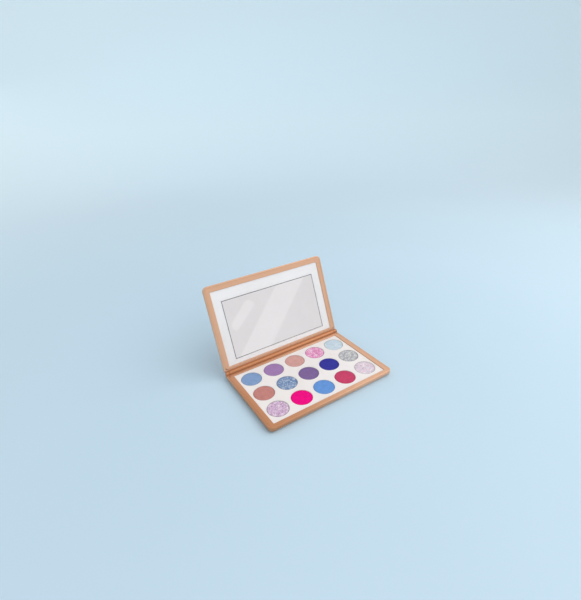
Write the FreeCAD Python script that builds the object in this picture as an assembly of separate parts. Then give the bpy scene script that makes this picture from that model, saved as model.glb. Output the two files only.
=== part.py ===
import FreeCAD
import Part
import math
import os

# Hinged eyeshadow palette, in millimetres. The origin is the middle of the base's underside.
# X runs along the hinge, Y from the front edge to the hinge, and Z up.
# The lid is modelled shut on the base, then turned about the hinge to the angle it stands open at.

# Layout of the shades, each pressed into a round well of the tray
shade_columns = 5
shade_rows = 3
well_diameter = 26.0
well_spacing = 6.0
panel_margin_side = 3.0
panel_margin_front = 5.0
panel_margin_rear = 4.2

# White tray and the powder in its wells
tray_recess = 1.0
well_floor = 1.1
powder_thickness = 3.0
powder_drop = 0.4
powder_gap = 0.05

# Moulded case
side_rim = 8.0
base_front_rim = 6.0
lid_front_rim = 8.0
shell_wall = 2.2
skin = 1.5
front_corner_radius = 6.0
rear_corner_land = 0.6
base_edge_round = 4.0
lid_edge_round = 3.0
rim_chamfer = 0.8
parting_gap = 0.3
seam_gap = 0.1

# Bezels that line the rims of base and lid
bezel_flange = 1.2
bezel_leg = 1.2

# Hinge: the lid's long barrel turns on two pins held in the base's ears
open_angle = 110.0
barrel_radius = 3.2
barrel_clearance = 0.3
stop_gap = 0.1
ear_thickness = 5.0
ear_side_gap = 0.3
base_rear_rim = 4.3
base_rear_wall = 1.8
lid_rear_rim = 4.4
lid_rear_wall = 1.7
pin_radius = 1.0
pin_running_clearance = 0.05
pin_recess = 0.3
pin_reach = 10.0
pin_end_gap = 0.3

# Mirror and the white liner it is set in
liner_recess = 0.8
liner_plate = 1.2
liner_skirt = 1.2
mirror_recess = 0.1
mirror_thickness = 1.6
mirror_gap = 0.5
mirror_chamfer = 0.4
mirror_margin_side = 11.8
mirror_margin_head = 14.8
mirror_margin_foot = 6.6
tape_thickness = 0.4
tape_inset = 4.0
pocket_wall = 1.2
pocket_floor = 1.1

# Bar magnets under the front rims
magnet_length = 10.0
magnet_thickness = 2.0
magnet_clearance = 0.25
magnet_inset = 33.0
magnet_rib = 1.0

# Heights in the base, from the underside up
well_bottom = skin + well_floor
powder_top = well_bottom + powder_thickness
tray_top = powder_top + powder_drop
base_height = tray_top + tray_recess

# Heights in the shut lid, from its rim face up
lid_face = base_height + parting_gap
liner_front = lid_face + liner_recess
mirror_front = liner_front + mirror_recess
mirror_back = mirror_front + mirror_thickness
tape_back = mirror_back + tape_thickness
lid_skin_inside = tape_back + pocket_floor
lid_top = lid_skin_inside + skin

# Widths, from the grid of wells outwards
well_pitch = well_diameter + well_spacing
grid_width = (shade_columns - 1) * well_pitch + well_diameter
grid_depth = (shade_rows - 1) * well_pitch + well_diameter
panel_half_width = grid_width / 2 + panel_margin_side
case_half_width = panel_half_width + side_rim
pocket_half_width = case_half_width - shell_wall

# Depths, from the front edge to the hinge
trough_radius = barrel_radius + barrel_clearance
panel_depth = panel_margin_front + grid_depth + panel_margin_rear
base_depth = base_front_rim + panel_depth + base_rear_rim + trough_radius + barrel_radius
case_front = -base_depth / 2
case_rear = base_depth / 2
pocket_front = case_front + shell_wall
base_panel_front = case_front + base_front_rim
base_panel_rear = base_panel_front + panel_depth
grid_middle = base_panel_front + panel_margin_front + grid_depth / 2
axis_y = case_rear - barrel_radius
axis_z = base_height + parting_gap / 2
base_pocket_rear = axis_y - trough_radius - base_rear_wall
lid_panel_front = case_front + lid_front_rim
lid_panel_rear = axis_y - barrel_radius - lid_rear_rim
lid_pocket_rear = axis_y - barrel_radius - lid_rear_wall

# Corners in plan
rear_corner_radius = base_edge_round + rear_corner_land
pocket_corner_radius = front_corner_radius - shell_wall

# Hinge stations along X
ear_inner = case_half_width - ear_thickness
barrel_half_length = ear_inner - ear_side_gap

PLANE_TOLERANCE = 1e-6
OVERCUT = 1.0


def plan_outline(half_width, front, rear, front_radius, rear_radius):
    """Rectangle in plan with rounded front and rear corners, at height 0."""
    def corner(x, y, radius, start_angle):
        circle = Part.Circle(FreeCAD.Vector(x, y, 0), FreeCAD.Vector(0, 0, 1), radius)
        start = math.radians(start_angle)
        return circle.toShape(start, start + math.pi / 2)

    arcs = [
        corner(half_width - rear_radius, rear - rear_radius, rear_radius, 0),
        corner(-half_width + rear_radius, rear - rear_radius, rear_radius, 90),
        corner(-half_width + front_radius, front + front_radius, front_radius, 180),
        corner(half_width - front_radius, front + front_radius, front_radius, 270),
    ]
    edges = []
    for arc, next_arc in zip(arcs, arcs[1:] + arcs[:1]):
        edges.append(arc)
        edges.append(segment(arc.Vertexes[-1].Point, next_arc.Vertexes[0].Point))
    return Part.Wire(edges)


def segment(start, end):
    return Part.LineSegment(start, end).toShape()


def prism(outline, bottom, top):
    """Upright solid on a plan outline, between two heights."""
    solid = Part.Face(outline).extrude(FreeCAD.Vector(0, 0, top - bottom))
    solid.translate(FreeCAD.Vector(0, 0, bottom))
    return solid


def bar(profile_edges, x_from, x_to):
    """Solid along X from a closed profile of edges in the plane X = 0."""
    solid = Part.Face(Part.Wire(profile_edges)).extrude(FreeCAD.Vector(x_to - x_from, 0, 0))
    solid.translate(FreeCAD.Vector(x_from, 0, 0))
    return solid


def block(x_from, x_to, y_from, y_to, z_from, z_to):
    corner = FreeCAD.Vector(x_from, y_from, z_from)
    return Part.makeBox(x_to - x_from, y_to - y_from, z_to - z_from, corner)


def disc(x, y, z, radius, height):
    return Part.makeCylinder(radius, height, FreeCAD.Vector(x, y, z))


def rod_along_x(x_from, x_to, radius):
    """Cylinder on the hinge axis."""
    start = FreeCAD.Vector(x_from, axis_y, axis_z)
    return Part.makeCylinder(radius, x_to - x_from, start, FreeCAD.Vector(1, 0, 0))


def edges_at_height(solid, height):
    """Edges that lie in the horizontal plane at a height."""
    def is_level(edge):
        heights = [vertex.Z for vertex in edge.Vertexes] + [edge.CenterOfMass.z]
        return all(abs(z - height) < PLANE_TOLERANCE for z in heights)
    return [edge for edge in solid.Edges if is_level(edge)]


def hinge_point(y, z):
    """Point of the hinge section, measured from the axis."""
    return FreeCAD.Vector(0, axis_y + y, axis_z + z)


def knuckle_profile(end_height):
    """Hinge section: half round about the axis, with straight cheeks to a height above or below it."""
    reach = end_height - axis_z
    crown = -math.copysign(barrel_radius, reach)
    front_end = hinge_point(-barrel_radius, reach)
    front = hinge_point(-barrel_radius, 0)
    rear = hinge_point(barrel_radius, 0)
    rear_end = hinge_point(barrel_radius, reach)
    half_round = Part.Arc(front, hinge_point(0, crown), rear).toShape()
    return [segment(front_end, front), half_round, segment(rear, rear_end), segment(rear_end, front_end)]


def ear_spans(overlap):
    """X ranges of the left and right hinge ears, lengthened at both ends."""
    inner = ear_inner - overlap
    outer = case_half_width + overlap
    return (-outer, -inner), (inner, outer)


def grid_places():
    """Name and centre of each shade: rows a, b, c from the hinge forwards, columns from the left."""
    for row in range(shade_rows):
        for column in range(shade_columns):
            name = "abcdefgh"[row] + str(column + 1)
            x = (column - (shade_columns - 1) / 2) * well_pitch
            y = grid_middle + ((shade_rows - 1) / 2 - row) * well_pitch
            yield name, x, y


def make_stop_trough():
    """Space between the ears for the barrel: a round trough, then the slope that stops the open lid."""
    angle = math.radians(open_angle)
    stop_distance = barrel_radius + stop_gap
    run = math.sqrt(trough_radius ** 2 - stop_distance ** 2)
    slope_y = math.sin(angle)
    slope_z = math.cos(angle)
    foot_y = stop_distance * math.cos(angle) + run * slope_y
    foot_z = -stop_distance * math.sin(angle) + run * slope_z
    past_rear = barrel_radius + OVERCUT
    slope_length = (past_rear - foot_y) / slope_y
    middle_angle = (math.atan2(foot_z, foot_y) - math.pi) / 2

    front_top = hinge_point(-trough_radius, barrel_radius + OVERCUT)
    front = hinge_point(-trough_radius, 0)
    middle = hinge_point(trough_radius * math.cos(middle_angle), trough_radius * math.sin(middle_angle))
    foot = hinge_point(foot_y, foot_z)
    slope_end = hinge_point(past_rear, foot_z + slope_length * slope_z)
    rear_top = hinge_point(past_rear, barrel_radius + OVERCUT)
    edges = [
        segment(front_top, front),
        Part.Arc(front, middle, foot).toShape(),
        segment(foot, slope_end),
        segment(slope_end, rear_top),
        segment(rear_top, front_top),
    ]
    return bar(edges, -ear_inner, ear_inner)


def case_outline():
    return plan_outline(case_half_width, case_front, case_rear, front_corner_radius, rear_corner_radius)


def pocket_outline(rear, gap):
    """Plan outline of the hollow in a case half, drawn in by a gap on every side."""
    radius = pocket_corner_radius - gap
    return plan_outline(pocket_half_width - gap, pocket_front + gap, rear - gap, radius, radius)


def make_base_shell():
    """Outer tray of the base: floor, walls, stop trough and the two hinge ears."""
    shell = prism(case_outline(), 0, base_height)
    shell = shell.makeFillet(base_edge_round, edges_at_height(shell, 0))
    shell = shell.makeChamfer(rim_chamfer, edges_at_height(shell, base_height))
    shell = shell.cut(prism(pocket_outline(base_pocket_rear, 0), skin, base_height + OVERCUT))
    shell = shell.cut(make_stop_trough())

    ear_root = base_height / 2
    ear_envelope = prism(case_outline(), 0, axis_z + barrel_radius + OVERCUT)
    for x_from, x_to in ear_spans(0):
        ear = bar(knuckle_profile(ear_root), x_from, x_to)
        shell = shell.fuse(ear.common(ear_envelope))
    for x_from, x_to in ear_spans(OVERCUT):
        shell = shell.cut(rod_along_x(x_from, x_to, pin_radius))
    return shell.removeSplitter()


def magnet_span(side):
    """X range of the left (-1) or right (1) magnet."""
    middle = side * (case_half_width - magnet_inset)
    return middle - magnet_length / 2, middle + magnet_length / 2


def make_bezel(panel_front, panel_rear, rear, face, seat):
    """Ring that lines a rim: a flange level with the rim face, a leg around the panel down to the skin,
    and ribs under the front flange that hold the magnets."""
    inwards = math.copysign(1, seat - face)
    flange_back = face + inwards * bezel_flange
    low, high = sorted((face, seat))
    leg_half_width = panel_half_width + bezel_leg
    leg = block(-leg_half_width, leg_half_width, panel_front - bezel_leg, panel_rear + bezel_leg, low, high)
    ring = prism(pocket_outline(rear, seam_gap), face, flange_back).fuse(leg)

    rib_low, rib_high = sorted((flange_back, flange_back + inwards * magnet_thickness))
    for side in (-1, 1):
        left, right = magnet_span(side)
        for rib_start in (left - magnet_clearance - magnet_rib, right + magnet_clearance):
            ring = ring.fuse(block(rib_start, rib_start + magnet_rib, pocket_front + seam_gap,
                                   panel_front - bezel_leg, rib_low, rib_high))

    opening = block(-panel_half_width, panel_half_width, panel_front, panel_rear,
                    low - OVERCUT, high + OVERCUT)
    return ring.cut(opening).removeSplitter()


def panel_block(panel_front, panel_rear, low, high):
    """Outside of a white panel that fills a bezel."""
    half_width = panel_half_width - seam_gap
    return block(-half_width, half_width, panel_front + seam_gap, panel_rear - seam_gap, low, high)


def make_shade_tray():
    """White tray of the base, with a round well for each shade."""
    tray = panel_block(base_panel_front, base_panel_rear, skin, tray_top)
    radius = well_diameter / 2
    wells = [disc(x, y, well_bottom, radius, base_height) for name, x, y in grid_places()]
    return tray.cut(wells)


def make_powder(x, y):
    """Cake of powder pressed into a well, to a little below the tray's face."""
    return disc(x, y, well_bottom, well_diameter / 2 - powder_gap, powder_thickness)


def make_magnet(side, bottom):
    """Bar magnet in the hollow of a front rim, between the shell wall and the base bezel's leg."""
    left, right = magnet_span(side)
    front = pocket_front + magnet_clearance
    rear = base_panel_front - bezel_leg - magnet_clearance
    return block(left, right, front, rear, bottom, bottom + magnet_thickness)


def make_hinge_pin(side):
    """Steel pin from an ear into the end of the barrel."""
    outer = case_half_width - pin_recess
    inner = barrel_half_length - pin_reach
    ends = sorted((side * inner, side * outer))
    return rod_along_x(ends[0], ends[1], pin_radius)


def make_lid_shell():
    """Outer cover of the lid, with the hinge barrel along its rear edge."""
    shell = prism(case_outline(), lid_face, lid_top)
    shell = shell.makeFillet(lid_edge_round, edges_at_height(shell, lid_top))
    shell = shell.makeChamfer(rim_chamfer, edges_at_height(shell, lid_face))
    shell = shell.cut(prism(pocket_outline(lid_pocket_rear, 0), lid_face - OVERCUT, lid_skin_inside))
    notch_front = axis_y - trough_radius
    for x_from, x_to in ear_spans(ear_side_gap):
        shell = shell.cut(block(x_from, x_to, notch_front, case_rear + OVERCUT,
                                axis_z - barrel_radius - OVERCUT, lid_top + OVERCUT))
    barrel = bar(knuckle_profile(lid_face + rim_chamfer), -barrel_half_length, barrel_half_length)
    shell = shell.fuse(barrel)
    bore_end = barrel_half_length - pin_reach - pin_end_gap
    bore_mouth = barrel_half_length + OVERCUT
    for x_from, x_to in ((-bore_mouth, -bore_end), (bore_end, bore_mouth)):
        shell = shell.cut(rod_along_x(x_from, x_to, pin_radius + pin_running_clearance))
    return shell.removeSplitter()


def mirror_outline(grow):
    """Mirror's plan outline with square corners, grown on every side."""
    front = lid_panel_front + mirror_margin_head - grow
    rear = lid_panel_rear - mirror_margin_foot + grow
    half_width = panel_half_width - mirror_margin_side + grow
    corners = [(-half_width, front), (half_width, front), (half_width, rear), (-half_width, rear)]
    points = [FreeCAD.Vector(x, y, 0) for x, y in corners]
    return Part.makePolygon(points + points[:1])


def make_lid_liner():
    """White panel of the lid: a plate, a skirt that stands on the skin, and a pocket for the mirror."""
    liner = panel_block(lid_panel_front, lid_panel_rear, liner_front, lid_skin_inside)
    half_width = panel_half_width - seam_gap - liner_skirt
    hollow = block(-half_width, half_width, lid_panel_front + seam_gap + liner_skirt,
                   lid_panel_rear - seam_gap - liner_skirt, liner_front + liner_plate, lid_skin_inside)
    pocket_body = prism(mirror_outline(mirror_gap + pocket_wall), liner_front, lid_skin_inside)
    pocket = prism(mirror_outline(mirror_gap), liner_front - OVERCUT, tape_back)
    return liner.cut(hollow.cut(pocket_body)).cut(pocket)


def make_mirror():
    """Glass mirror with ground front edges."""
    glass = prism(mirror_outline(0), mirror_front, mirror_back)
    return glass.makeChamfer(mirror_chamfer, edges_at_height(glass, mirror_front))


def make_mirror_tape():
    """Adhesive sheet between the mirror and its pocket."""
    return prism(mirror_outline(-tape_inset), mirror_back, tape_back)


def build_base():
    magnet_bottom = base_height - bezel_flange - magnet_thickness
    parts = {
        "base_shell": make_base_shell(),
        "base_bezel": make_bezel(base_panel_front, base_panel_rear, base_pocket_rear, base_height, skin),
        "shade_tray": make_shade_tray(),
        "base_magnet_left": make_magnet(-1, magnet_bottom),
        "base_magnet_right": make_magnet(1, magnet_bottom),
        "hinge_pin_left": make_hinge_pin(-1),
        "hinge_pin_right": make_hinge_pin(1),
    }
    for name, x, y in grid_places():
        parts["powder_" + name] = make_powder(x, y)
    return parts


def build_lid():
    """Lid pieces, turned open about the hinge."""
    magnet_bottom = lid_face + bezel_flange
    parts = {
        "lid_shell": make_lid_shell(),
        "lid_bezel": make_bezel(lid_panel_front, lid_panel_rear, lid_pocket_rear, lid_face, lid_skin_inside),
        "lid_liner": make_lid_liner(),
        "mirror": make_mirror(),
        "mirror_tape": make_mirror_tape(),
        "lid_magnet_left": make_magnet(-1, magnet_bottom),
        "lid_magnet_right": make_magnet(1, magnet_bottom),
    }
    for shape in parts.values():
        shape.rotate(hinge_point(0, 0), FreeCAD.Vector(-1, 0, 0), open_angle)
    return parts


def main():
    os.makedirs("parts", exist_ok=True)
    for name, shape in {**build_base(), **build_lid()}.items():
        shape.exportStep(os.path.join("parts", name + ".step"))


main()
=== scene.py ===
import math
import random

import bmesh
import bpy
from mathutils import Matrix, Vector, noise


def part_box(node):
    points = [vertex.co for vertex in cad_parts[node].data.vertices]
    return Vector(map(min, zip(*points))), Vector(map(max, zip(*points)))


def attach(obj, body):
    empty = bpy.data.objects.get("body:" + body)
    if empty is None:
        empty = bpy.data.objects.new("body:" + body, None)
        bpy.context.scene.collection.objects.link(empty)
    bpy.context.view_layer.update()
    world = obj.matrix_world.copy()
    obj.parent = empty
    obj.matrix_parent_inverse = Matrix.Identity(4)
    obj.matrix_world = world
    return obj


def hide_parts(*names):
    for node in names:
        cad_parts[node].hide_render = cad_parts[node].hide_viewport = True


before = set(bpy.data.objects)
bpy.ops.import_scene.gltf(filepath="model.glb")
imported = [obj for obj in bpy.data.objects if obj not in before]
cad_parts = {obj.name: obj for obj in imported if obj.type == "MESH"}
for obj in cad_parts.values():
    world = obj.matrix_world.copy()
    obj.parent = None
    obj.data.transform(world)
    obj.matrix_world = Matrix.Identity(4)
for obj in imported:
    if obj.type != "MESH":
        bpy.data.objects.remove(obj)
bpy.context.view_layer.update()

# Base shell: the moulded lower half of the case, lacquered in a satin rose gold.
# One injection moulding with a floor, walls, a trough for the lid's barrel and two hinge ears.
# Every mesh is drawn in millimetres and set to metres when its piece is placed.

MM = 0.001
same_place = 1e-4
near_place = 1e-3
facet_slack = 0.02
level_normal = 0.99
sharp_angle = math.radians(32)
case_half_width = 88.0
case_front = -58.1
case_rear = 58.1
front_corner = 6.0
rear_corner = 4.6
base_height = 7.0
floor_skin = 1.5
shell_wall = 2.2
rim_round = 0.9
base_edge_round = 4.0
base_pocket_rear = 49.6
hinge_y = 54.9
hinge_z = 7.15
open_angle = math.radians(110)
lid_room_height = 14.0
barrel_radius = 3.2
trough_radius = 3.5
trough_lip_round = 0.5
stop_distance = 3.3
ear_inner = 83.0
ear_end_round = 0.5
ear_trim_top = hinge_z + 5.0
pin_radius = 1.0
cut_overrun = 1.0
# Painted shade: this deep tone is laid on the lacquer around the hinge and towards the left end of the base.
painted_shade_tone = (190, 127, 85)
hinge_painted_shade_fade = (3.6, 4.6)
left_painted_shade_middle = (-case_half_width, -25.0, 0.0)
left_painted_shade_fade = (35.0, 135.0)
left_painted_shade_share = 0.85


def verts_in(geom):
    """Vertices among what an operator returns."""
    return [g for g in geom if isinstance(g, bmesh.types.BMVert)]


def rounded_slab(half_width, front, rear, front_radius, rear_radius, low, high):
    """Upright plate with rounded corners in plan."""
    mesh = bmesh.new()
    bmesh.ops.create_grid(mesh, x_segments=1, y_segments=1, size=1.0)
    bmesh.ops.scale(mesh, vec=(half_width, (rear - front) / 2, 1), verts=mesh.verts)
    front_corners = [v for v in mesh.verts if v.co.y < 0]
    rear_corners = [v for v in mesh.verts if v.co.y > 0]
    bmesh.ops.translate(mesh, vec=(0, (front + rear) / 2, low), verts=mesh.verts)
    for corners, radius in ((front_corners, front_radius), (rear_corners, rear_radius)):
        bmesh.ops.bevel(mesh, geom=corners, offset=radius, offset_type="OFFSET", segments=12, profile=0.5,
                        affect="VERTICES", material=-1)
    raised = bmesh.ops.extrude_face_region(mesh, geom=mesh.faces[:])["geom"]
    bmesh.ops.translate(mesh, vec=(0, 0, high - low), verts=verts_in(raised))
    bmesh.ops.recalc_face_normals(mesh, faces=mesh.faces)
    return mesh


def case_outline_slab(low, high):
    """Plate with the outline of the case, between two heights."""
    return rounded_slab(case_half_width, case_front, case_rear, front_corner, rear_corner, low, high)


def edges_where(mesh, test):
    """Edges with both ends where the test holds."""
    return [e for e in mesh.edges if test(e.verts[0].co) and test(e.verts[1].co)]


def level_edges(mesh, height):
    """Edges that lie at a height."""
    return edges_where(mesh, lambda co: abs(co.z - height) < same_place)


def round_edges(mesh, edges, radius, segments):
    """Round edges over to a radius."""
    bmesh.ops.bevel(mesh, geom=edges, offset=radius, offset_type="OFFSET", segments=segments, profile=0.5,
                    affect="EDGES", clamp_overlap=True, material=-1)


def widest_face(mesh, direction):
    """Largest face that looks along Z, up (1) or down (-1)."""
    return max((f for f in mesh.faces if f.normal.z * direction > level_normal), key=lambda f: f.calc_area())


def push_faces(mesh, faces, distance):
    """Move faces along Z and wall in the step that this leaves."""
    moved = bmesh.ops.extrude_face_region(mesh, geom=faces)["geom"]
    bmesh.ops.delete(mesh, geom=faces, context="FACES")
    bmesh.ops.translate(mesh, vec=(0, 0, distance), verts=verts_in(moved))


def sink_pocket(mesh, direction, rear, bottom):
    """Hollow out a case half from its rim face."""
    mesh.normal_update()
    face = widest_face(mesh, direction)
    bmesh.ops.inset_region(mesh, faces=[face], thickness=shell_wall - rim_round, use_even_offset=True,
                           use_boundary=True)
    rear_side = [v for v in face.verts if v.co.y > 0]
    bmesh.ops.translate(mesh, vec=(0, rear - (case_rear - shell_wall), 0), verts=rear_side)
    push_faces(mesh, [face], bottom - face.verts[0].co.z)


def box(x_range, y_range, z_range):
    """Block between two limits on each axis."""
    mesh = bmesh.new()
    ranges = (x_range, y_range, z_range)
    bmesh.ops.create_cube(mesh, size=1.0)
    bmesh.ops.scale(mesh, vec=[high - low for low, high in ranges], verts=mesh.verts)
    bmesh.ops.translate(mesh, vec=[(low + high) / 2 for low, high in ranges], verts=mesh.verts)
    return mesh


def hinge_rod(x_from, x_to, radius, end_round=0.0):
    """Cylinder on the hinge axis, whose ends may be rounded."""
    mesh = bmesh.new()
    middle = Matrix.Translation(((x_from + x_to) / 2, hinge_y, hinge_z))
    bmesh.ops.create_cone(mesh, cap_ends=True, segments=64, radius1=radius, radius2=radius,
                          depth=x_to - x_from, matrix=middle @ Matrix.Rotation(math.pi / 2, 4, "Y"))
    if end_round:
        rims = edges_where(mesh, lambda co: abs(co.x - x_from) < same_place)
        rims += edges_where(mesh, lambda co: abs(co.x - x_to) < same_place)
        round_edges(mesh, rims, end_round, segments=4)
    return mesh


def wall_and_close(mesh, loop, distance):
    """Wall along Z from a closed loop of edges, with a flat end."""
    walls = bmesh.ops.extrude_edge_only(mesh, edges=loop)["geom"]
    bmesh.ops.translate(mesh, vec=(0, 0, distance), verts=verts_in(walls))
    ends = [g for g in walls if isinstance(g, bmesh.types.BMEdge) and g.is_boundary]
    bmesh.ops.edgeloop_fill(mesh, edges=ends)


def knuckle(x_from, x_to, end_round, height):
    """Half-round on the hinge axis with straight cheeks up or down to a height."""
    mesh = hinge_rod(x_from, x_to, barrel_radius, end_round)
    up = 1 if height > hinge_z else -1
    everything = mesh.verts[:] + mesh.edges[:] + mesh.faces[:]
    bmesh.ops.bisect_plane(mesh, geom=everything, plane_co=(0, 0, hinge_z), plane_no=(0, 0, up),
                           clear_outer=True)
    wall_and_close(mesh, [e for e in mesh.edges if e.is_boundary], height - hinge_z)
    bmesh.ops.recalc_face_normals(mesh, faces=mesh.faces)
    return mesh


def turn_open(mesh):
    """Swing a piece of the shut lid to where the lid stands open."""
    bmesh.ops.rotate(mesh, cent=(0, hinge_y, hinge_z), matrix=Matrix.Rotation(open_angle, 3, (-1, 0, 0)),
                     verts=mesh.verts)
    return mesh


def as_mesh(mesh, name="work"):
    """Mesh data made from a bmesh, which is freed."""
    data = bpy.data.meshes.new(name)
    mesh.to_mesh(data)
    mesh.free()
    return data


def combine(mesh, operation, *tools):
    """Join to or cut from a mesh, one tool after another."""
    for tool in tools:
        body = bpy.data.objects.new("work_body", as_mesh(mesh))
        cutter = bpy.data.objects.new("work_tool", as_mesh(tool))
        for part in (body, cutter):
            bpy.context.scene.collection.objects.link(part)
        step = body.modifiers.new("step", "BOOLEAN")
        step.operation = operation
        step.solver = "EXACT"
        step.object = cutter
        done = body.evaluated_get(bpy.context.evaluated_depsgraph_get())
        result = bpy.data.meshes.new_from_object(done)
        for part in (body, cutter):
            data = part.data
            bpy.data.objects.remove(part)
            bpy.data.meshes.remove(data)
        mesh = bmesh.new()
        mesh.from_mesh(result)
        bpy.data.meshes.remove(result)
        bmesh.ops.remove_doubles(mesh, verts=mesh.verts, dist=same_place)
    return mesh


def place_piece(name, mesh, body, slot, finish, *stands_for):
    """Finished piece in metres, riding on its body, in place of its CAD nodes."""
    bmesh.ops.scale(mesh, vec=(MM, MM, MM), verts=mesh.verts)
    data = as_mesh(mesh, name)
    data.materials.append(finish)
    data.shade_smooth()
    data.set_sharp_from_angle(angle=sharp_angle)
    piece = bpy.data.objects.new(name, data)
    bpy.context.scene.collection.objects.link(piece)
    even = piece.modifiers.new("even_shading", "WEIGHTED_NORMAL")
    even.keep_sharp = True
    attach(piece, body)
    if stands_for:
        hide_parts(*stands_for)


def metres(*lengths):
    """Lengths in millimetres as the metres that materials read."""
    return tuple(length * MM for length in lengths)


def tone(colour):
    """Linear values, as shaders take them, of a colour given in screen values from 0 to 255.

    One number alone is a linear grey.
    """
    if isinstance(colour, (int, float)):
        return (colour, colour, colour, 1.0)
    parts = [c / 255 for c in colour]
    return tuple(c / 12.92 if c <= 0.04045 else ((c + 0.055) / 1.055) ** 2.4 for c in parts) + (1.0,)


class Finish:
    """Procedural material on Object coordinates, built node by node."""

    def __init__(self, name):
        self.material = bpy.data.materials.new(name)
        self.material.use_nodes = True
        self.tree = self.material.node_tree
        self.shader = self.tree.nodes["Principled BSDF"]
        self.place = self.tree.nodes.new("ShaderNodeTexCoord").outputs["Object"]

    def feed(self, socket, value):
        """Link a socket to another, or set its value."""
        if isinstance(value, bpy.types.NodeSocket):
            self.tree.links.new(value, socket)
        else:
            socket.default_value = value

    def node(self, kind, inputs, **settings):
        """New node of a kind, with its settings and inputs."""
        node = self.tree.nodes.new("ShaderNode" + kind)
        for key, value in settings.items():
            setattr(node, key, value)
        for key, value in inputs.items():
            self.feed(node.inputs[key], value)
        return node

    def noise(self, scale, detail=2.0, roughness=0.5):
        """Soft clouds; the scale counts them along a metre."""
        return self.node("TexNoise", {"Vector": self.place, "Scale": scale, "Detail": detail,
                                      "Roughness": roughness}).outputs["Fac"]

    def cells(self, scale):
        """Small cells, each of its own random value."""
        return self.node("TexVoronoi", {"Vector": self.place, "Scale": scale}).outputs["Color"]

    def vector(self, operation, *values):
        """Result of an operation on vectors."""
        node = self.node("VectorMath", dict(enumerate(values)), operation=operation)
        return node.outputs["Value" if operation in ("DISTANCE", "LENGTH") else "Vector"]

    def ramp(self, value, *stops):
        """Colours at stops along a value."""
        node = self.node("ValToRGB", {"Fac": value})
        bar = node.color_ramp
        for end in (0, -1):
            bar.elements[end].position = stops[end][0]
            bar.elements[end].color = tone(stops[end][1])
        for position, colour in stops[1:-1]:
            bar.elements.new(position).color = tone(colour)
        return node.outputs["Color"]

    def spread(self, value, low, high, from_low=0.0, from_high=1.0):
        """Value stretched from one range to another, and held at its ends."""
        return self.node("MapRange", {"Value": value, "From Min": from_low, "From Max": from_high,
                                      "To Min": low, "To Max": high}).outputs["Result"]

    def mix(self, share, first, second, blend="MIX"):
        """Blend of two colours, which are the Mix node's inputs 6 and 7 and its output 2."""
        node = self.node("Mix", {"Factor": share, 6: first, 7: second}, data_type="RGBA", blend_type=blend)
        return node.outputs[2]

    def relief(self, height, strength, distance, under=None):
        """Bumped normal, which may lie over another."""
        inputs = {"Height": height, "Strength": strength, "Distance": distance}
        if under:
            inputs["Normal"] = under
        return self.node("Bump", inputs).outputs["Normal"]

    def set(self, **sockets):
        """Feed the shader, and give the finished material."""
        for key, value in sockets.items():
            self.feed(self.shader.inputs[key.replace("_", " ")], value)
        return self.material


def make_rose_gold():
    """Satin lacquer: fine metallic flake over a warm tan, under a thin clear coat.

    It has painted shade laid in: a deeper tone around the hinge, and a deeper tone that grows softly towards
    the left end of the base.
    """
    finish = Finish("rose_gold_satin")
    warm = finish.ramp(finish.noise(9, 2), (0.3, (223, 173, 140)), (0.7, (226, 177, 145)))
    across = finish.vector("MULTIPLY", finish.place, (0, 1, 1))
    from_hinge = finish.vector("DISTANCE", across, metres(0, hinge_y, hinge_z))
    # Painted shade: a deeper tone around the hinge axis, on every rose gold piece.
    hinge_painted_shade = finish.spread(from_hinge, 1.0, 0.0, *metres(*hinge_painted_shade_fade))
    # Painted shade: on the base only, the lacquer deepens softly towards its left end.
    from_left = finish.vector("DISTANCE", finish.place, metres(*left_painted_shade_middle))
    left_painted_shade = finish.spread(from_left, left_painted_shade_share, 0.0, *metres(*left_painted_shade_fade))
    height = finish.node("SeparateXYZ", {"Vector": finish.place}).outputs["Z"]
    base_left_painted_shade = finish.spread(height, left_painted_shade, 0.0, *metres(base_height, hinge_z))
    warm = finish.mix(base_left_painted_shade, warm, tone(painted_shade_tone))
    warm = finish.mix(hinge_painted_shade, warm, tone(painted_shade_tone))
    sparkle = finish.ramp(finish.cells(2600), (0.0, 0.93), (1.0, 1.07))
    colour = finish.mix(0.6, warm, sparkle, "MULTIPLY")
    rough = finish.spread(finish.noise(160, 4), 0.31, 0.4, 0.3, 0.7)
    skin = finish.relief(finish.noise(1500, 2), 0.05, 0.0002)
    return finish.set(Base_Color=colour, Roughness=rough, Normal=skin, Metallic=0.45, Coat_Weight=0.15,
                      Coat_Roughness=0.22)


def on_trough_lip(co):
    """Whether a point lies where the trough's front wall meets the rim."""
    at_wall = abs(co.y - (hinge_y - trough_radius)) < facet_slack
    at_rim = abs(co.z - base_height) < near_place
    return at_wall and at_rim and abs(co.x) < ear_inner + near_place


rose_gold = make_rose_gold()

shell = case_outline_slab(0, base_height)
round_edges(shell, level_edges(shell, 0), base_edge_round, segments=10)
round_edges(shell, level_edges(shell, base_height), rim_round, segments=5)
sink_pocket(shell, 1, base_pocket_rear, floor_skin)
lid_room = box((-ear_inner, ear_inner), (hinge_y - trough_radius, hinge_y + stop_distance),
               (hinge_z, hinge_z + lid_room_height))
trough = hinge_rod(-ear_inner, ear_inner, trough_radius)
shell = combine(shell, "DIFFERENCE", trough, turn_open(lid_room))
round_edges(shell, edges_where(shell, on_trough_lip), trough_lip_round, segments=4)
for side in (-1, 1):
    ear_ends = sorted((side * ear_inner, side * case_half_width))
    bore_ends = sorted((side * (ear_inner - cut_overrun), side * (case_half_width + cut_overrun)))
    ear = knuckle(*ear_ends, ear_end_round, base_height / 2)
    ear = combine(ear, "INTERSECT", case_outline_slab(-cut_overrun, ear_trim_top))
    shell = combine(shell, "UNION", ear)
    shell = combine(shell, "DIFFERENCE", hinge_rod(*bore_ends, pin_radius))
place_piece("base_case", shell, "base", "case_rose_gold", rose_gold, "base_shell")

# Base magnets: two nickel-plated bars that hold the lid shut.
# They lie between ribs under the front rim, and nothing of them shows.


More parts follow.
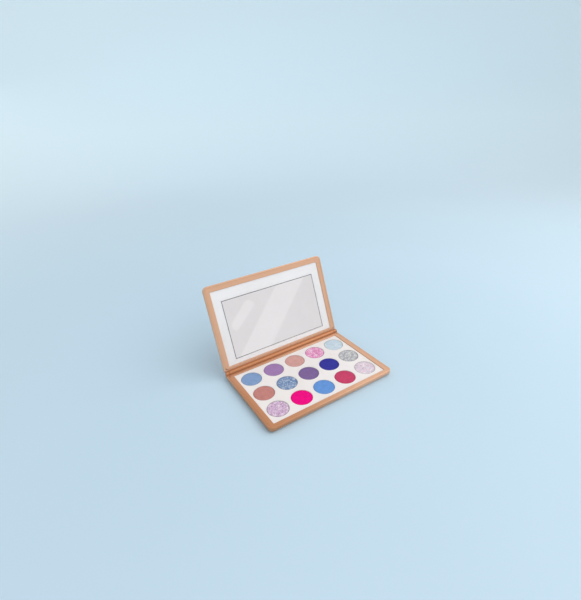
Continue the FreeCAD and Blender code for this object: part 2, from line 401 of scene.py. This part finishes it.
def make_plated_metal(name, colour, low_rough, high_rough):
    """Bare or plated metal with fine drawn lines and a little staining."""
    finish = Finish(name)
    lines = finish.node("Mapping", {"Vector": finish.place, "Scale": (40, 900, 900)}).outputs["Vector"]
    grain = finish.node("TexNoise", {"Vector": lines, "Scale": 6.0, "Detail": 3.0}).outputs["Fac"]
    stain = finish.ramp(finish.noise(120, 3), (0.3, [c * 0.9 for c in colour]), (0.7, colour))
    return finish.set(Base_Color=stain, Roughness=finish.spread(grain, low_rough, high_rough),
                      Normal=finish.relief(grain, 0.08, 0.0001), Metallic=1.0)


def dress(node, material):
    """Give a CAD node its finish."""
    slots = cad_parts[node].data.materials
    slots.clear()
    slots.append(material)


nickel = make_plated_metal("magnet_nickel", (206, 202, 194), 0.2, 0.35)
for name in ("base_magnet_left", "base_magnet_right"):
    dress(name, nickel)

# Base bezel: the moulded ring inside the base's rim, in the same rose gold.
# Its flange lies level with the rim, its leg stands on the floor around the white tray,
# and ribs under its front hold the magnets.

seam = 0.1
corner_angle = 1.0
loop_plate = 1.0
panel_half_width = 80.0
panel_corner = 0.7
bezel_flange = 1.2
bezel_leg = 1.2
bezel_round = 0.35
base_panel = (-52.1, 47.1)
magnet_thickness = 2.0
magnet_rib = 1.0
magnet_rib_starts = (-61.25, -49.75, 48.75, 60.25)


def corner_edges(mesh, height):
    """Edges at a height where the surface turns a corner."""
    return [e for e in level_edges(mesh, height) if e.calc_face_angle(0) > corner_angle]


def flat_loop(mesh, half_width, front, rear, radius, height):
    """Closed outline of edges, with rounded corners: the lower edges of a plate, without its faces."""
    outline = rounded_slab(half_width, front, rear, radius, radius, height, height + loop_plate)
    upper = [v for v in outline.verts if v.co.z > height + loop_plate / 2]
    bmesh.ops.delete(outline, geom=upper, context="VERTS")
    bmesh.ops.delete(outline, geom=outline.faces[:], context="FACES_ONLY")
    data = as_mesh(outline)
    known = set(mesh.edges)
    mesh.from_mesh(data)
    bpy.data.meshes.remove(data)
    return [e for e in mesh.edges if e not in known]


def make_bezel(panel, rear, face, seat):
    """Flange from the pocket wall to the panel, with a leg along the panel and ribs for the magnets."""
    inward = math.copysign(1, seat - face)
    mesh = bmesh.new()
    outer = flat_loop(mesh, case_half_width - shell_wall - seam, case_front + shell_wall + seam, rear - seam,
                      front_corner - shell_wall - seam, face)
    middle = flat_loop(mesh, panel_half_width + bezel_leg, panel[0] - bezel_leg, panel[1] + bezel_leg,
                       panel_corner + bezel_leg, face)
    inner = flat_loop(mesh, panel_half_width, panel[0], panel[1], panel_corner, face)
    bmesh.ops.bridge_loops(mesh, edges=outer + middle)
    flange_faces = set(mesh.faces)
    bmesh.ops.bridge_loops(mesh, edges=middle + inner)
    leg_marks = [f.calc_center_median() for f in mesh.faces if f not in flange_faces]
    down = bmesh.ops.extrude_face_region(mesh, geom=mesh.faces[:])["geom"]
    bmesh.ops.translate(mesh, vec=(0, 0, inward * bezel_flange), verts=verts_in(down))
    under = [g for g in down if isinstance(g, bmesh.types.BMFace)]
    leg_under = [f for f in under
                 if any((f.calc_center_median() - mark).xy.length < near_place for mark in leg_marks)]
    push_faces(mesh, leg_under, inward * (abs(seat - face) - bezel_flange))
    bmesh.ops.recalc_face_normals(mesh, faces=mesh.faces)
    round_edges(mesh, corner_edges(mesh, face), bezel_round, segments=3)
    depths = (case_front + shell_wall + 2 * seam, panel[0] - bezel_leg + seam)
    heights = sorted(face + inward * (bezel_flange + step) for step in (-seam, magnet_thickness))
    ribs = [box((x, x + magnet_rib), depths, heights) for x in magnet_rib_starts]
    return combine(mesh, "UNION", *ribs)


bezel = make_bezel(base_panel, base_pocket_rear, base_height, floor_skin)
place_piece("base_rim", bezel, "base", "case_rose_gold", rose_gold, "base_bezel")

# Shade tray: the white satin panel that fills the base, with a round well for each shade.
# One injection moulding, bonded inside the bezel, with softened well mouths.

tray_top = 6.0
well_radius = 13.0
well_pitch = 32.0
well_bottom = 2.6
well_mouth = 0.25
plug_height = 10.0
grid_middle = -2.1


def make_white_plastic():
    """Satin white moulding with a fine spark-eroded grain and the faintest drift in tone."""
    finish = Finish("panel_white_satin")
    colour = finish.ramp(finish.noise(22, 3), (0.3, (239, 235, 235)), (0.7, (245, 241, 242)))
    rough = finish.spread(finish.noise(140, 3), 0.42, 0.55, 0.3, 0.7)
    grain = finish.relief(finish.noise(2400, 2), 0.06, 0.0002)
    return finish.set(Base_Color=colour, Roughness=rough, Normal=grain)


white_plastic = make_white_plastic()

well_plugs = bmesh.new()
for column in range(-2, 3):
    for row in range(-1, 2):
        middle = (column * well_pitch, grid_middle + row * well_pitch, well_bottom + plug_height / 2)
        bmesh.ops.create_cone(well_plugs, cap_ends=True, segments=96, radius1=well_radius,
                              radius2=well_radius, depth=plug_height, matrix=Matrix.Translation(middle))
tray = rounded_slab(panel_half_width - seam, base_panel[0] + seam, base_panel[1] - seam, panel_corner - seam,
                    panel_corner - seam, floor_skin, tray_top)
tray = combine(tray, "DIFFERENCE", well_plugs)
round_edges(tray, corner_edges(tray, tray_top), well_mouth, segments=4)
place_piece("shade_tray_panel", tray, "base", "panel_white", white_plastic, "shade_tray")

# Pressed shades: fifteen round cakes of powder, each pressed into its own well of the tray.
# A cake has a rounded shoulder, a skin that is a little uneven, and a narrow gap to the well's wall.

full_turn = 2 * math.pi
shoulder = 0.8
shoulder_shape = ((0.3, 0.12), (0.0, 0.6))
cake_rings = 12
# The painted shade at a cake's edge fades in over this span of radius.
cake_painted_shade_fade = (11.8, 12.8)
skin_depth = 0.01
skin_rise = 0.05
skin_scale = 0.35


def make_powder(name, place, colour, kind):
    """Pressed pigment: dusty grain and soft mottling, with painted shade that darkens the edge.

    Glitter and shimmer also hold pale patches and deeper ones.
    """
    finish = Finish(name)
    low, high = [Vector(corner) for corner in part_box("powder_" + place)]
    top_middle = ((low.x + high.x) / 2, (low.y + high.y) / 2, high.z)
    reach = finish.vector("DISTANCE", finish.place, top_middle)
    painted_edge_shade = finish.spread(reach, 0.0, 1.0, *metres(*cake_painted_shade_fade))
    mottle = finish.noise(260, 4, 0.6)
    grain = finish.noise(3600, 2)
    if kind == "matte":
        dark_mottle = [c * 0.95 for c in colour]
        light_mottle = [min(255, c * 1.03) for c in colour]
        body = finish.ramp(mottle, (0.3, dark_mottle), (0.7, light_mottle))
        rough = finish.spread(grain, 0.85, 1.0)
    else:
        patches = finish.noise(270, 3, 0.7)
        pale = [c + (255 - c) * (0.7 if kind == "glitter" else 0.4) for c in colour]
        deep = [c * (0.84 if kind == "glitter" else 0.95) for c in colour]
        body = finish.ramp(patches, (0.34, deep), (0.45, colour), (0.53, colour), (0.64, pale))
        rough = finish.spread(patches, 0.35, 0.7)
    specks = finish.ramp(finish.cells(2200), (0.0, 0.9), (1.0, 1.08))
    body = finish.mix(0.5, body, specks, "MULTIPLY")
    # Painted shade: the cake's colour darkens towards its outer edge, where it dips towards the well's wall.
    body = finish.mix(painted_edge_shade, body, tone([c * (0.8 if kind == "matte" else 0.7) for c in colour]))
    skin = finish.relief(grain, 0.25, 0.0002, finish.relief(mottle, 0.3, 0.0006))
    return finish.set(Base_Color=body, Roughness=rough, Normal=skin, Sheen_Weight=0.03, Sheen_Roughness=0.5,
                      Specular_IOR_Level=0.12)


def press_cake(place):
    """Cake of powder, turned from its half profile."""
    low, high = [[v / MM for v in corner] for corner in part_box("powder_" + place)]
    centre = Vector(((low[0] + high[0]) / 2, (low[1] + high[1]) / 2, 0))
    radius = (high[0] - low[0]) / 2
    bottom, top = low[2], high[2]
    mesh = bmesh.new()
    profile = [((radius - shoulder) * ring / cake_rings, top) for ring in range(cake_rings + 1)]
    profile += [(radius - shoulder * inward, top - shoulder * down) for inward, down in shoulder_shape]
    profile += [(radius, bottom), (0, bottom)]
    points = [mesh.verts.new((centre.x + r, centre.y, z)) for r, z in profile]
    lines = [mesh.edges.new(pair) for pair in zip(points, points[1:])]
    bmesh.ops.spin(mesh, geom=points + lines, cent=centre, axis=(0, 0, 1), steps=96, angle=full_turn,
                   use_merge=True)
    bmesh.ops.remove_doubles(mesh, verts=mesh.verts, dist=same_place)
    bmesh.ops.recalc_face_normals(mesh, faces=mesh.faces)
    for v in mesh.verts:
        if v.co.z > top - skin_depth:
            v.co.z += skin_rise * noise.noise(v.co * skin_scale)
    return mesh


shades = (
    ("a1", "periwinkle", (135, 165, 210), "matte"),
    ("a2", "orchid", (165, 130, 185), "matte"),
    ("a3", "dusty_pink", (215, 165, 160), "matte"),
    ("a4", "glitter_pink", (225, 140, 195), "glitter"),
    ("a5", "ice_blue", (200, 220, 235), "shimmer"),
    ("b1", "terracotta_rose", (200, 135, 130), "matte"),
    ("b2", "steel_blue", (110, 140, 185), "glitter"),
    ("b3", "violet", (130, 105, 160), "matte"),
    ("b4", "indigo", (55, 55, 160), "matte"),
    ("b5", "silver", (180, 180, 190), "glitter"),
    ("c1", "lilac_glitter", (205, 175, 205), "glitter"),
    ("c2", "hot_pink", (245, 0, 135), "matte"),
    ("c3", "cornflower", (105, 155, 225), "matte"),
    ("c4", "raspberry", (205, 70, 110), "matte"),
    ("c5", "pearl", (225, 210, 225), "glitter"),
)
for place, name, colour, kind in shades:
    powder = make_powder("shade_" + name, place, colour, kind)
    place_piece("shade_cake_" + place, press_cake(place), "base", "shade_" + name, powder, "powder_" + place)

# Glitter: loose flakes of metallised film, cut as tiny hexagons, in the skin of the glitter shades.
# They lie nearly flat where the press left them, each tilted and tinted a little differently.

flake_thickness = 0.05
flake_sizes = (0.2, 0.7)
flake_tilt = 0.3
flake_margin = 0.5
flake_lift = 0.02
first_seed = 7


def make_flakes():
    """Metallised film: each flake takes its tint from the piece's own attribute."""
    finish = Finish("glitter_film")
    tint = finish.node("Attribute", {}, attribute_name="flake_tint").outputs["Color"]
    shimmer = finish.ramp(finish.cells(1500), (0.0, 0.8), (1.0, 1.0))
    film = finish.mix(0.25, tint, shimmer, "MULTIPLY")
    return finish.set(Base_Color=film, Roughness=finish.spread(finish.noise(900), 0.3, 0.5), Metallic=0.4)


def scatter_flakes(place, count, tints, seed):
    """Flakes strewn evenly over the flat of a cake."""
    low, high = [Vector(corner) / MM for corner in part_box("powder_" + place)]
    reach = (high.x - low.x) / 2 - shoulder - flake_margin
    chance = random.Random(seed)
    mesh = bmesh.new()
    tint_layer = mesh.verts.layers.float_color.new("flake_tint")
    for _ in range(count):
        distance = reach * math.sqrt(chance.random())
        angle = chance.uniform(0, full_turn)
        x = (low.x + high.x) / 2 + distance * math.cos(angle)
        y = (low.y + high.y) / 2 + distance * math.sin(angle)
        turn = Matrix.Rotation(chance.uniform(0, full_turn), 4, "Z")
        tilt = Matrix.Rotation(chance.uniform(0, flake_tilt), 4, "X")
        size = chance.uniform(*flake_sizes)
        pose = Matrix.Translation((x, y, high.z + flake_lift)) @ (turn @ tilt)
        made = bmesh.ops.create_cone(mesh, cap_ends=True, segments=6, radius1=size, radius2=size,
                                     depth=flake_thickness, matrix=pose)["verts"]
        colour = tone(chance.choice(tints))
        for v in made:
            v[tint_layer] = colour
    return mesh


flake_film = make_flakes()
glitter = (
    ("a4", "glitter_pink", 300, ((250, 210, 235), (250, 170, 215), (230, 115, 185), (250, 230, 240))),
    ("b2", "steel_blue", 380, ((165, 190, 220), (100, 130, 175), (190, 210, 230), (135, 155, 200))),
    ("b5", "silver", 420, ((235, 240, 240), (150, 155, 165), (205, 200, 225), (220, 225, 200))),
    ("c1", "lilac_glitter", 420, ((235, 210, 240), (190, 150, 200), (250, 235, 250), (220, 180, 225))),
    ("c5", "pearl", 300, ((250, 225, 240), (220, 215, 235), (250, 245, 250), (240, 195, 220))),
)
for seed, (place, name, count, tints) in enumerate(glitter, first_seed):
    flakes = scatter_flakes(place, count, tints, seed)
    place_piece("glitter_flakes_" + place, flakes, "base", "shade_" + name, flake_film)

# Hinge pins: two cut lengths of drawn steel wire, pressed into the ears.
# They run in the barrel's bores, and their cut ends show in the ears' outer faces.

drawn_steel = make_plated_metal("pin_steel", (190, 190, 192), 0.22, 0.4)
for name in ("hinge_pin_left", "hinge_pin_right"):
    dress(name, drawn_steel)

# Lid shell: the moulded upper half of the case, in the same rose gold.
# One moulding with a flat back, walls, and a long barrel along its rear edge that turns on the pins.
# It is drawn shut, with a notch for each ear, and then swung open.

lid_face = 7.3
lid_top = 12.8
lid_inside = 11.3
lid_edge_round = 3.0
lid_pocket_rear = 50.0
barrel_half_length = 82.7
barrel_cheek_top = 8.1
barrel_end_round = 0.3
bore_reach = (72.5, 84.0)
bore_clearance = 0.05
notch_clearance = 0.02
notch_reach = (barrel_half_length + notch_clearance, 90.0)
notch_depths = (hinge_y - trough_radius, 60.0)
notch_heights = (5.0, 15.0)


def at_both_ends(reach):
    """Reach along the hinge at the left end, and the same at the right."""
    return (-reach[1], -reach[0]), reach


cover = case_outline_slab(lid_face, lid_top)
round_edges(cover, level_edges(cover, lid_top), lid_edge_round, segments=10)
round_edges(cover, level_edges(cover, lid_face), rim_round, segments=5)
sink_pocket(cover, -1, lid_pocket_rear, lid_inside)
for ends in at_both_ends(notch_reach):
    cover = combine(cover, "DIFFERENCE", box(ends, notch_depths, notch_heights))
barrel = knuckle(-barrel_half_length, barrel_half_length, barrel_end_round, barrel_cheek_top)
cover = combine(cover, "UNION", barrel)
for ends in at_both_ends(bore_reach):
    cover = combine(cover, "DIFFERENCE", hinge_rod(*ends, pin_radius + bore_clearance))
place_piece("lid_case", turn_open(cover), "lid", "case_rose_gold", rose_gold, "lid_shell")

# Lid magnets: two nickel-plated bars in the lid's front rim, facing those in the base.
# They lie between the lid bezel's ribs, and nothing of them shows.

for name in ("lid_magnet_left", "lid_magnet_right"):
    dress(name, nickel)

# Lid bezel: the moulded ring inside the lid's rim, in the same rose gold.
# It is made like the base's: a flange level with the rim, a leg around the white panel, and magnet ribs.

lid_panel_span = (-50.1, 47.3)
lid_ring = make_bezel(lid_panel_span, lid_pocket_rear, lid_face, lid_inside)
place_piece("lid_rim", turn_open(lid_ring), "lid", "case_rose_gold", rose_gold, "lid_bezel")

# Lid panel: the white satin moulding that fills the lid and frames the mirror.
# A plate on a skirt, bonded inside the bezel, with a shallow walled pocket in which the mirror lies.

liner_front = 8.1
liner_corner = 0.6
liner_edge_round = 0.3
liner_plate = 1.2
liner_skirt = 1.2
pocket_half_width = 68.7
pocket_span = (-35.8, 41.2)
pocket_corner = 0.4
pocket_depth = 2.1
pocket_wall = 1.2

liner = bmesh.new()
liner_half_width = panel_half_width - seam
liner_span = (lid_panel_span[0] + seam, lid_panel_span[1] - seam)
outer = flat_loop(liner, liner_half_width, *liner_span, liner_corner, liner_front)
inner = flat_loop(liner, pocket_half_width, *pocket_span, pocket_corner, liner_front)
bmesh.ops.bridge_loops(liner, edges=outer + inner)
wall_and_close(liner, outer, lid_inside - liner_front)
wall_and_close(liner, inner, pocket_depth)
bmesh.ops.recalc_face_normals(liner, faces=liner.faces)
round_edges(liner, corner_edges(liner, liner_front), liner_edge_round, segments=3)
skirt_inside = liner_half_width - liner_skirt
hollow = box((-skirt_inside, skirt_inside), (liner_span[0] + liner_skirt, liner_span[1] - liner_skirt),
             (liner_front + liner_plate, lid_inside + cut_overrun))
pocket_outside = pocket_half_width + pocket_wall
pocket_body = box((-pocket_outside, pocket_outside),
                  (pocket_span[0] - pocket_wall, pocket_span[1] + pocket_wall),
                  (liner_front, lid_inside + 2 * cut_overrun))
liner = combine(liner, "DIFFERENCE", combine(hollow, "DIFFERENCE", pocket_body))
place_piece("lid_panel", turn_open(liner), "lid", "panel_white", white_plastic, "lid_liner")

# Mirror tape: the sheet of double-sided adhesive between the mirror and its pocket.
# It is thin and pale, and only its edge could be seen, deep in the gap.


def make_tape():
    """Pale adhesive on a thin fibrous sheet."""
    finish = Finish("adhesive_sheet")
    fibre = finish.noise(800, 4, 0.7)
    colour = finish.ramp(fibre, (0.3, (196, 190, 176)), (0.7, (216, 211, 198)))
    return finish.set(Base_Color=colour, Roughness=0.8, Normal=finish.relief(fibre, 0.2, 0.0002))


dress("mirror_tape", make_tape())

# Mirror: a sheet of silvered glass with a ground edge, taped into the lid's panel.
# Its face is polished, with the faintest wiped-clean haze, and the ground edge is frosted grey.

mirror_gap = 0.5
ground_edge = 0.45
ground_fade = 0.05


def make_mirror():
    """Silvered glass, frosted close to its outline, which is measured as on the shut lid."""
    finish = Finish("mirror_glass")
    haze = finish.noise(18, 4, 0.6)
    silver = finish.ramp(haze, (0.3, (239, 238, 239)), (0.7, (244, 243, 244)))
    polish = finish.spread(haze, 0.015, 0.05, 0.3, 0.7)
    hinge = Vector((0, hinge_y, hinge_z)) * MM
    shut = hinge - Matrix.Rotation(open_angle, 3, "X") @ hinge
    flat = finish.node("Mapping", {"Vector": finish.place, "Location": shut, "Rotation": (open_angle, 0, 0)})
    front, rear = pocket_span
    half_size = Vector((pocket_half_width - mirror_gap, (rear - front) / 2 - mirror_gap, 1)) * MM
    middle = Vector((0, (front + rear) / 2, 0)) * MM
    off_middle = finish.vector("SUBTRACT", flat.outputs["Vector"], middle)
    inward = finish.vector("SUBTRACT", half_size, finish.vector("ABSOLUTE", off_middle))
    sides = finish.node("SeparateXYZ", {"Vector": inward}).outputs
    nearest = finish.node("Math", {0: sides["X"], 1: sides["Y"]}, operation="MINIMUM").outputs["Value"]
    ground = finish.spread(nearest, 1.0, 0.0, *metres(ground_edge - ground_fade, ground_edge))
    frost = finish.ramp(finish.noise(1200, 3), (0.3, (165, 166, 170)), (0.7, (180, 181, 185)))
    rough = finish.node("Mix", {"Factor": ground, "A": polish, "B": 0.5}, data_type="FLOAT").outputs["Result"]
    return finish.set(Base_Color=finish.mix(ground, silver, frost), Roughness=rough, Metallic=1.0)


dress("mirror", make_mirror())

# Studio: a plain pale sweep under and behind the palette, soft light from the right, and the camera.
# Pale cards that only reflections see give the mirror its grey and its streaks.
# None of it belongs to the palette, and its sizes are in metres.

warm_white = (1.0, 0.975, 0.945)
sweep_floor = 1.3
sweep_curve = 1.4
sweep_angle = math.radians(42)
sweep_wall = (2.4, 0, 2.2)
card_corner = 0.016
card_middle = Vector((0.5104, -1.0067, 0.1572))
card_right = Vector((-0.9044, -0.4268, 0.0))
card_up = Vector((-0.0346, 0.0733, 0.9967))
card_ahead = card_right.cross(card_up)

camera_data = bpy.data.cameras.new("camera")
camera_data.lens = 23.82
camera_data.sensor_width = 36.0
camera = bpy.data.objects.new("camera", camera_data)
camera.location = (-0.22262, -0.33407, 0.31655)
camera.rotation_euler = (math.radians(62.6348), math.radians(2.5), math.radians(-32.5203))
bpy.context.scene.collection.objects.link(camera)
bpy.context.scene.camera = camera
bpy.context.scene.view_settings.view_transform = "Standard"

world = bpy.data.worlds.new("studio")
world.use_nodes = True
sky = world.node_tree
direction = sky.nodes.new("ShaderNodeSeparateXYZ")
sky.links.new(sky.nodes.new("ShaderNodeTexCoord").outputs["Generated"], direction.inputs["Vector"])
fall = sky.nodes.new("ShaderNodeMapRange")
sky.links.new(direction.outputs["X"], fall.inputs["Value"])
for key, value in (("From Min", -0.8), ("From Max", 0.8), ("To Min", 0.42), ("To Max", 1.12)):
    fall.inputs[key].default_value = value
sky.nodes["Background"].inputs["Color"].default_value = (*warm_white, 1)
sky.links.new(fall.outputs["Result"], sky.nodes["Background"].inputs["Strength"])
bpy.context.scene.world = world


def make_sweep_finish():
    """Matt pale-blue paper that grows paler with distance."""
    finish = Finish("sweep_pale_blue")
    fade = finish.spread(finish.vector("LENGTH", finish.place), 0.0, 1.0, 0.2, 2.0)
    near = finish.ramp(finish.noise(3, 2), (0.3, (197, 222, 241)), (0.7, (199, 224, 242)))
    colour = finish.mix(fade, near, tone((228, 246, 255)))
    return finish.set(Base_Color=colour, Roughness=0.9, Specular_IOR_Level=0.1)


def make_card(name, brightness):
    """Card that glows evenly, seen only in reflections."""
    finish = Finish(name)
    glow = finish.ramp(finish.noise(4, 2), (0.3, (254, 252, 253)), (0.7, (255, 253, 254)))
    return finish.set(Base_Color=tone(0.0), Emission_Color=glow, Emission_Strength=brightness, Roughness=1.0)


def set_stage(name, mesh, material, seen=True):
    """Put up a piece of the studio, seen by the camera or only in reflections."""
    data = as_mesh(mesh)
    data.materials.append(material)
    data.shade_smooth()
    thing = bpy.data.objects.new(name, data)
    thing.visible_camera = thing.visible_diffuse = thing.visible_shadow = seen
    bpy.context.scene.collection.objects.link(thing)


sweep = bmesh.new()
floor_line = [sweep.verts.new(point) for point in ((0, 0, 0), (sweep_floor, 0, 0))]
sweep.edges.new(floor_line)
curve = bmesh.ops.spin(sweep, geom=[floor_line[1]], cent=(sweep_floor, 0, sweep_curve), axis=(0, -1, 0),
                       steps=20, angle=sweep_angle)["geom_last"]
wall = bmesh.ops.extrude_vert_indiv(sweep, verts=verts_in(curve))["verts"]
bmesh.ops.translate(sweep, vec=sweep_wall, verts=wall)
bmesh.ops.spin(sweep, geom=sweep.verts[:] + sweep.edges[:], cent=(0, 0, 0), axis=(0, 0, 1), steps=96,
               angle=full_turn, use_merge=True)
bmesh.ops.remove_doubles(sweep, verts=sweep.verts, dist=1e-5)
bmesh.ops.recalc_face_normals(sweep, faces=sweep.faces)
bmesh.ops.reverse_faces(sweep, faces=sweep.faces)
set_stage("sweep", sweep, make_sweep_finish())

for name, forward, brightness, corners in (
        ("mirror_card", 0.0, 0.80, ((-1.1, 0.9), (-1.1, -0.13), (1.1, -0.13), (1.1, 0.9))),
        ("streak_small", 0.01, 0.88, ((0.100, 0.150), (0.070, 0.118), (0.190, 0.032), (0.208, 0.066))),
        ("streak_broad", 0.01, 0.88, ((-0.085, 0.195), (-0.205, 0.180), (0.092, -0.096), (0.235, -0.089)))):
    card = bmesh.new()
    points = [card_middle + card_right * a + card_up * b + card_ahead * forward for a, b in corners]
    card.faces.new([card.verts.new(point) for point in points])
    bmesh.ops.bevel(card, geom=card.verts[:], offset=card_corner, offset_type="OFFSET", segments=5,
                    profile=0.5, affect="VERTICES", material=-1)
    set_stage(name, card, make_card(name, brightness), seen=False)

for name, position, aim, energy, size, colour in (
        ("key", (0.75, -0.35, 0.9), (0, 0, 0.04), 4.0, 1.0, warm_white),
        ("fill", (0.25, -1.1, 0.6), (0, 0, 0.04), 2.6, 0.9, (1.0, 0.89, 0.77)),
        ("rear", (-0.9, 1.7, 0.9), (0, 0.07, 0.06), 2.2, 1.6, (1.0, 0.97, 0.94)),
        ("backdrop", (0.9, 1.3, 1.8), (2.2, 3.2, 0.9), 6.0, 2.4, (0.55, 0.8, 1.0))):
    light_data = bpy.data.lights.new(name, "AREA")
    light_data.energy = energy
    light_data.size = size
    light_data.color = colour
    light = bpy.data.objects.new(name, light_data)
    light.location = position
    light.visible_camera = False
    light.visible_glossy = name in ("key", "rear")
    light.rotation_euler = (Vector(aim) - light.location).to_track_quat("-Z", "Y").to_euler()
    bpy.context.scene.collection.objects.link(light)
